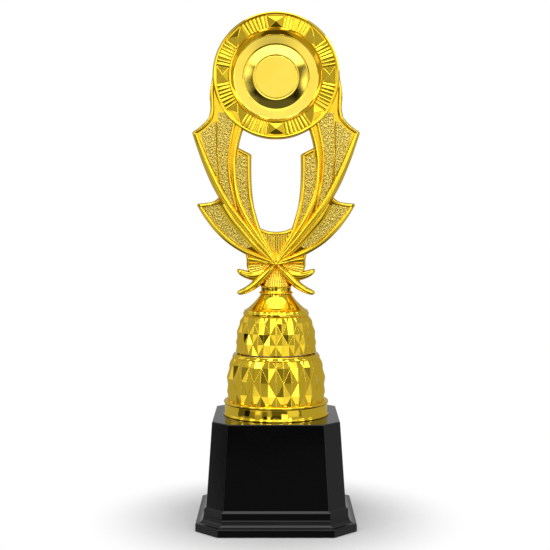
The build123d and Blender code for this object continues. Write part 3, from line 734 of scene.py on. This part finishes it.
# fields between the bars
OUTER_FIELD = [(35.0, 234.2), (37.6, 235.4), (40.6, 231.8), (45.8, 227.6), (43.2, 219.5), (39.2, 209.0),
               (34.0, 198.5)]
MAIN_FIELD = [(24.6, 236.0), (29.5, 240.5), (35.0, 240.5), (35.2, 226.0), (34.0, 199.0), (28.5, 188.0),
              (23.0, 179.0), (25.2, 189.0), (27.3, 199.5), (28.1, 211.5), (26.9, 222.2)]
INNER_FIELD = [(22.6, 216.6), (16.2, 213.6), (16.2, 197.0), (15.0, 186.5), (12.7, 177.5), (9.5, 168.0),
               (11.6, 167.4), (15.0, 172.6), (19.4, 180.6), (22.9, 189.6), (24.4, 199.5), (24.7, 208.0)]
LOW_FIELD = [(44.2, 184.4), (39.2, 185.2), (33.2, 186.4), (28.0, 178.6), (21.8, 171.2), (14.8, 164.0),
             (13.6, 160.0), (18.4, 158.6), (26.6, 163.4), (33.6, 169.7), (39.6, 176.8)]
FAN_FIELD = [(-9.8, 168.6), (9.8, 168.6), (6.6, 163.0), (0.0, 153.0), (-6.6, 163.0)]
BOW_FIELD = [(3.4, 149.9), (9.0, 150.3), (16.8, 150.4), (16.9, 148.2), (15.8, 146.0), (14.0, 144.6),
             (9.6, 144.8), (5.6, 147.6)]

# distances in front of the parting plane, all taken from PLATE_FRONT
PLATE_FRONT = 3.2              # front of the plate behind everything
BAR_FOOT = PLATE_FRONT - 0.3   # where the bars leave the plate
TAIL_FOOT = PLATE_FRONT - 0.2
BAR_BASE = PLATE_FRONT + 0.7   # the bars' crests are counted from here
FIELD_FRONT = PLATE_FRONT + 0.8

# bars of one wing. Later entries are higher where bars cross: path, widths, rise per width, extra
# height towards the knot, and how round the top is
WING_BARS = (
    (LOW_BORDER, [2.4, 3.2, 3.7, 3.7, 3.5, 3.0, 2.0], 0.36, 1.0, 0.9),
    (LOW_TOP_BORDER, [1.6, 1.9, 1.9, 1.7], 0.42, 0.0, 0.8),
    (RIBBON, [4.8, 4.6, 4.0, 3.4, 2.8, 2.0], 0.16, 1.3, 0.5),
    (RIB, [1.2, 1.4, 1.5, 1.1], 0.42, 0.0, 1.0),
    (MAIN_INNER, [2.1, 2.1, 2.0, 2.1, 2.2, 1.6], 0.42, 0.0, 0.9),
    (OPENING_BORDER, [2.4, 2.5, 2.5, 2.6, 2.8, 3.0, 2.8, 2.0], 0.36, 1.3, 0.8),
    (STEP_BORDER, [2.1, 2.1], 0.38, 0.0, 0.8),
    (SPINE, [2.7, 2.8, 3.0, 3.4, 3.6, 3.6, 3.4, 3.0, 2.0], 0.40, 1.2, 0.8),
    (HIGH_BORDER, [2.5, 3.3, 3.8, 4.1, 4.4, 4.6, 4.4, 3.9, 3.3, 2.2], 0.34, 1.5, 0.9),
    (HIGH_TOP_BORDER, [2.2, 2.5, 2.6, 2.6, 2.6, 2.6, 2.4, 2.0], 0.36, 0.0, 0.8))


def wing_bars(bm):
    """Raised borders, spine and ribbon of one wing, which meet under the knot."""
    for path, widths, rise, lift, power in WING_BARS:
        last = len(path) - 1
        # the rise goes with the width, so that every bar keeps a round section
        crests = [BAR_BASE + rise * width + lift * (k / last) ** 2 for k, width in enumerate(widths)]
        bar(bm, path, widths, BAR_FOOT, crests, power, arc=10)


def half_bow(bm):
    """One loop of the bow, with its border, and the two tails on the same side."""
    fold = [(0.6, 150.2), (5.5, 151.3), (10.5, 152.2), (16.6, 153.0)]
    bar(bm, fold, [1.2, 2.4, 3.6, 4.6], BAR_FOOT, [6.2, 5.2, 4.7, 4.3], 0.6, arc=10)
    border = [(17.3, 155.6), (16.6, 153.2), (16.6, 150.6), (16.5, 148.6), (15.8, 146.2)]
    bar(bm, border, [1.5, 1.8, 1.8, 1.7, 1.4], BAR_FOOT, 4.8, 0.9)
    upper_tail = [(6.4, 145.6), (10.4, 143.7), (14.6, 143.3), (18.6, 144.3), (21.2, 145.5), (22.4, 146.2)]
    bar(bm, upper_tail, [4.0, 5.6, 5.2, 4.1, 3.1, 1.7], TAIL_FOOT, [4.9, 5.2, 5.1, 4.9, 4.5, 4.0], 0.9,
        arc=10)
    lower_tail = [(0.9, 149.9), (3.4, 147.0), (6.6, 143.6), (11.4, 138.9), (16.6, 135.2), (20.9, 133.4),
                  (22.4, 133.1)]
    bar(bm, lower_tail, [2.0, 4.0, 5.6, 5.0, 3.9, 3.0, 1.7], TAIL_FOOT, [6.4, 6.8, 6.7, 6.1, 5.2, 4.6, 4.0],
        0.9, arc=10)


def figure_half(name):
    """Polished relief of the front half: plate, bars, bow and knot."""
    bm = bmesh.new()
    socket = arc(MEDALLION_Z, 29.3, 0, 360, 96)[:-1]
    plate(bm, [OUTLINE_LOOP, OPENING_LOOP, socket], PLATE_FRONT, 0.9, 1.7)
    relief = bmesh.new()
    wing_bars(relief)
    half_bow(relief)
    add_mirror_x(relief)
    bar(relief, FAN_RIM, [2.0, 2.1, 2.1, 2.1, 2.0], BAR_FOOT, 4.8, 0.8)
    mesh = bpy.data.meshes.new("relief")
    relief.to_mesh(mesh)
    relief.free()
    bm.from_mesh(mesh)
    bpy.data.meshes.remove(mesh)
    knot = bmesh.ops.create_uvsphere(bm, u_segments=32, v_segments=20, radius=1.0)["verts"]
    for vertex in knot:
        vertex.co = (vertex.co.x * 1.9, vertex.co.y * 3.2 - 3.7, vertex.co.z * 1.7 + KNOT[1] + 0.1)
    return mesh_object(name, bm, GOLD, 38)


def plain_floor(x, z):
    """Front of the plain feathers."""
    return FIELD_FRONT


def fan_ribs(x, z):
    """Front of the fluted fan under the opening: upright ribs."""
    return FIELD_FRONT + 0.65 * abs(math.cos(math.pi * x / 1.45)) ** 0.6


def bow_ribs(x, z):
    """Front of the bow's loops: ribs that spread from the knot."""
    angle = math.degrees(math.atan2(z - KNOT[1] - 0.1, abs(x)))
    return FIELD_FRONT + 0.7 * abs(math.cos(math.pi * angle / 6.0)) ** 0.6


def figure_fields(name):
    """The front half's sunk, grained feathers."""
    bm = bmesh.new()
    for polygon in (OUTER_FIELD, MAIN_FIELD, INNER_FIELD, LOW_FIELD):
        stippled_field(bm, polygon, plain_floor, 0.22, pitch=0.5, margin=0.75)
    add_mirror_x(bm)
    return mesh_object(name, bm, GOLD_STIPPLE, 60)


def figure_fans(name):
    """The ribbed fan under the opening and the ribbed loops of the bow."""
    bm = bmesh.new()
    stippled_field(bm, BOW_FIELD, bow_ribs, 0.0, pitch=0.2)
    add_mirror_x(bm)
    stippled_field(bm, FAN_FIELD, fan_ribs, 0.0, pitch=0.2)
    return mesh_object(name, bm, GOLD_FAN, 50)


def flipped_back(obj, name):
    """A copy of a front piece on the back half, mirrored about y = 0."""
    copy = obj.copy()
    copy.data = obj.data.copy()
    copy.name = name
    for vertex in copy.data.vertices:
        vertex.co.y = -vertex.co.y
    copy.data.flip_normals()
    bpy.context.scene.collection.objects.link(copy)
    return copy


STEM_RIBS = 15                 # on one half
STEM_HEIGHT = 11.6
STEM_FOOT_RADIUS, STEM_TOP_RADIUS = 7.9, 3.3
FLUTE_DEPTH = 0.8


def fluted_stem(name, side):
    """Ribbed half cone between the collar and the knot; side is -1 for the front and +1 for the back."""
    bm = bmesh.new()
    sides, rows = STEM_RIBS * 24, 10
    grid = []
    for j in range(rows + 1):
        t = j / rows
        z = COLLAR_TOP + 0.05 + STEM_HEIGHT * t
        radius = STEM_FOOT_RADIUS - (STEM_FOOT_RADIUS - STEM_TOP_RADIUS) * t
        ring = []
        for k in range(sides + 1):
            angle = math.pi * k / sides
            r = radius - FLUTE_DEPTH * (1 - abs(math.sin(STEM_RIBS * angle)) ** 0.6)
            ring.append(bm.verts.new((r * math.cos(angle), side * r * math.sin(angle), z)))
        grid.append(ring)
    for a, b in zip(grid, grid[1:]):
        for k in range(sides):
            bm.faces.new((a[k], a[k + 1], b[k + 1], b[k]))
        bm.faces.new((a[0], b[0], b[-1], a[-1]))
    bm.faces.new(grid[0])
    bm.faces.new(grid[-1][::-1])
    return mesh_object(name, bm, GOLD_FAN, 40)


front = figure_half("figure_front_relief")
fields = figure_fields("figure_front_fields")
fans = figure_fans("figure_front_fans")
stem = fluted_stem("figure_front_stem", -1)
back_relief = flipped_back(front, "figure_back_relief")
back_fields = flipped_back(fields, "figure_back_fields")
back_fans = flipped_back(fans, "figure_back_fans")
back_stem = fluted_stem("figure_back_stem", 1)
for piece in (front, fields, fans, stem):
    stands_for(piece, "figure", GOLD_SLOT, "figure_front")
for piece in (back_relief, back_fields, back_fans, back_stem):
    stands_for(piece, "figure", GOLD_SLOT, "figure_back")


# ------------------------------------------------------------------ stage, light and camera
FLOOR_RADIUS = 190
FLOOR_PALE = 0.62
FADE_START, FADE_END = 55, 115   # radii between which the floor fades into the white surroundings


def floor_disc():
    """Pale round floor, matt where the trophy's shadow falls and plain white further out."""
    bm = bmesh.new()
    bmesh.ops.create_circle(bm, cap_ends=True, segments=96, radius=FLOOR_RADIUS)
    floor = mesh_object("floor", bm, None)
    material, nodes, links, shader = new_material("pale_floor")
    place = nodes.new("ShaderNodeTexCoord")
    reach = nodes.new("ShaderNodeVectorMath")
    reach.operation = "LENGTH"
    links.new(place.outputs["Object"], reach.inputs[0])
    fade = nodes.new("ShaderNodeMapRange")
    fade.interpolation_type = "SMOOTHSTEP"
    fade.inputs["From Min"].default_value = FADE_START * MM
    fade.inputs["From Max"].default_value = FADE_END * MM
    links.new(reach.outputs["Value"], fade.inputs["Value"])
    tint = ramp(nodes, links, fade.outputs["Result"], grey(FLOOR_PALE), grey(0.0), 0.0, 1.0)
    links.new(tint.outputs["Color"], shader.inputs["Base Color"])
    shader.inputs["Roughness"].default_value = 0.9
    shader.inputs["Specular IOR Level"].default_value = 0.0
    shader.inputs["Emission Color"].default_value = grey(1.0)
    links.new(fade.outputs["Result"], shader.inputs["Emission Strength"])
    floor.data.materials.clear()
    floor.data.materials.append(material)
    floor.visible_glossy = False


# Studio seen in reflections, as cards of light: left, right, low, high (degrees) and strength. Left and
# right are turned from the camera's side (0) towards +x (90) and the back (180).
CARDS = [
    (-7, 7, 2.5, 11.5, 0.66),        # card over the lens, seen by flat front faces
    (-12, 12, 12, 21, 2.6),          # lamp above the camera
    (13, 24, -7, 14, 2.2),           # windows beside the camera
    (-18.5, -13, -2, 13, 1.6),
    (-35, -31, 4, 36, 5.0),          # upright tubes, from the camera outwards
    (28.5, 33, 0, 40, 6.5),
    (-60, -52, 12, 42, 4.5),
    (59, 65, 10, 40, 4.0),
    (-84, -79, 4, 30, 2.4),
    (79, 84, 2, 30, 2.2),
    (-24, -12, 37, 58, 6.0),         # high lamps
    (9, 18.5, 37, 58, 6.0),
    (-46, -34, -13, -5, 0.6),        # pale patches of the room
    (26, 52, -13, -2, 0.40),
    (42, 60, 2, 34, 0.30),
    (-122, -98, 4, 40, 0.40),
    (-26, -14, -36, -20, 0.8),       # light returned by the table
    (18, 30, -34, -18, 0.8),
    (-62, -48, -34, -18, 0.6),
    (50, 62, -34, -18, 0.6),
    (-180, 180, 58, 90, 1.7),        # overhead light
]
SHADES = [
    (-10, 24, -24, -2.5, 0.34),      # dark opening under the lens
    (-10, 10, -3, 1.5, 0.34),
    (-26, -8, -2, 12, 0.28),         # dark gaps between the lamps
    (8, 13, -2, 12, 0.28),
    (-30, -19, -11, 1, 0.30),
    (-3, 12, 22.5, 35, 0.28),
    (-92, -60, -13, -2, 0.36),
    (-72, -48, -10, 2, 0.22),
    (-66, -46, 43, 60, 0.28),
    (52, 57, -13, -2, 0.3),
    (-180, 180, -90, -42, 0.38),     # the trophy's own dark foot
]
ROOM_LEVEL = 0.46
SOFT_TURN, SOFT_HEIGHT = 4.0, 3.0    # width of the cards' soft edges, in degrees
WOBBLE = 9.0                         # how far the edges wander, in degrees


def studio_world():
    """White studio drawn by direction, seen in reflections; the camera sees plain white."""
    world = bpy.data.worlds.new("studio")
    bpy.context.scene.world = world
    world.use_nodes = True
    nodes, links = world.node_tree.nodes, world.node_tree.links
    nodes.clear()
    place = nodes.new("ShaderNodeTexCoord")
    split = nodes.new("ShaderNodeSeparateXYZ")
    links.new(place.outputs["Generated"], split.inputs[0])

    def math_node(operation, *values):
        node = nodes.new("ShaderNodeMath")
        node.operation = operation
        for socket, value in zip(node.inputs, values):
            if isinstance(value, (int, float)):
                socket.default_value = value
            else:
                links.new(value, socket)
        return node.outputs[0]

    def edge(value, centre, width):
        """0 to 1 across a soft edge; a negative width falls instead of rising."""
        node = nodes.new("ShaderNodeMapRange")
        node.interpolation_type = "SMOOTHSTEP"
        node.inputs["From Min"].default_value = centre - width / 2
        node.inputs["From Max"].default_value = centre + width / 2
        links.new(value, node.inputs["Value"])
        return node.outputs["Result"]

    x, y, z = split.outputs
    turn = math_node("MULTIPLY", math_node("ARCTAN2", x, math_node("MULTIPLY", y, -1.0)), 180 / math.pi)
    height = math_node("MULTIPLY", math_node("ARCSINE", z), 180 / math.pi)
    wobble = nodes.new("ShaderNodeTexNoise")
    wobble.inputs["Scale"].default_value = 5
    links.new(place.outputs["Generated"], wobble.inputs["Vector"])
    drift = math_node("MULTIPLY", math_node("SUBTRACT", wobble.outputs["Fac"], 0.5), WOBBLE)
    turn = math_node("ADD", turn, drift)
    height = math_node("ADD", height, math_node("MULTIPLY", drift, 0.5))

    def card(left, right, low, high, strength):
        """The strength inside the card and 0 outside it."""
        mask = edge(height, low, SOFT_HEIGHT)
        if high < 90:
            mask = math_node("MULTIPLY", mask, edge(height, high, -SOFT_HEIGHT))
        if left > -180:
            mask = math_node("MULTIPLY", mask, edge(turn, left, SOFT_TURN))
        if right < 180:
            mask = math_node("MULTIPLY", mask, edge(turn, right, -SOFT_TURN))
        return math_node("MULTIPLY", mask, strength)

    total = ROOM_LEVEL
    for place_and_strength in CARDS:
        total = math_node("ADD", total, card(*place_and_strength))
    for place_and_strength in SHADES:
        total = math_node("SUBTRACT", total, card(*place_and_strength))
    total = math_node("MAXIMUM", total, 0.01)
    seen = nodes.new("ShaderNodeLightPath")
    room = nodes.new("ShaderNodeBackground")
    room.inputs["Color"].default_value = grey(1.0)
    links.new(total, room.inputs["Strength"])
    plain = nodes.new("ShaderNodeBackground")
    plain.inputs["Color"].default_value = grey(1.0)
    mix = nodes.new("ShaderNodeMixShader")
    links.new(seen.outputs["Is Camera Ray"], mix.inputs["Fac"])
    links.new(room.outputs[0], mix.inputs[1])
    links.new(plain.outputs[0], mix.inputs[2])
    out = nodes.new("ShaderNodeOutputWorld")
    links.new(mix.outputs[0], out.inputs["Surface"])


floor_disc()
studio_world()

CAMERA_DISTANCE, EYE_HEIGHT = 684.0, 181.0
SENSOR_WIDTH = 36.0
LENS_LENGTH = SENSOR_WIDTH * 23 / 11
camera_data = bpy.data.cameras.new("camera")
camera_data.sensor_width = SENSOR_WIDTH
camera_data.lens = LENS_LENGTH
camera_data.clip_start, camera_data.clip_end = 0.01, 20.0
camera_data.shift_x, camera_data.shift_y = -0.0019, -0.1145
camera = bpy.data.objects.new("camera", camera_data)
camera.location = (0, -CAMERA_DISTANCE * MM, EYE_HEIGHT * MM)
camera.rotation_euler = (math.radians(90), 0, 0)
bpy.context.scene.collection.objects.link(camera)
bpy.context.scene.camera = camera
bpy.context.scene.view_settings.view_transform = "Standard"
bpy.context.scene.view_settings.look = "None"

bpy.context.view_layer.update()
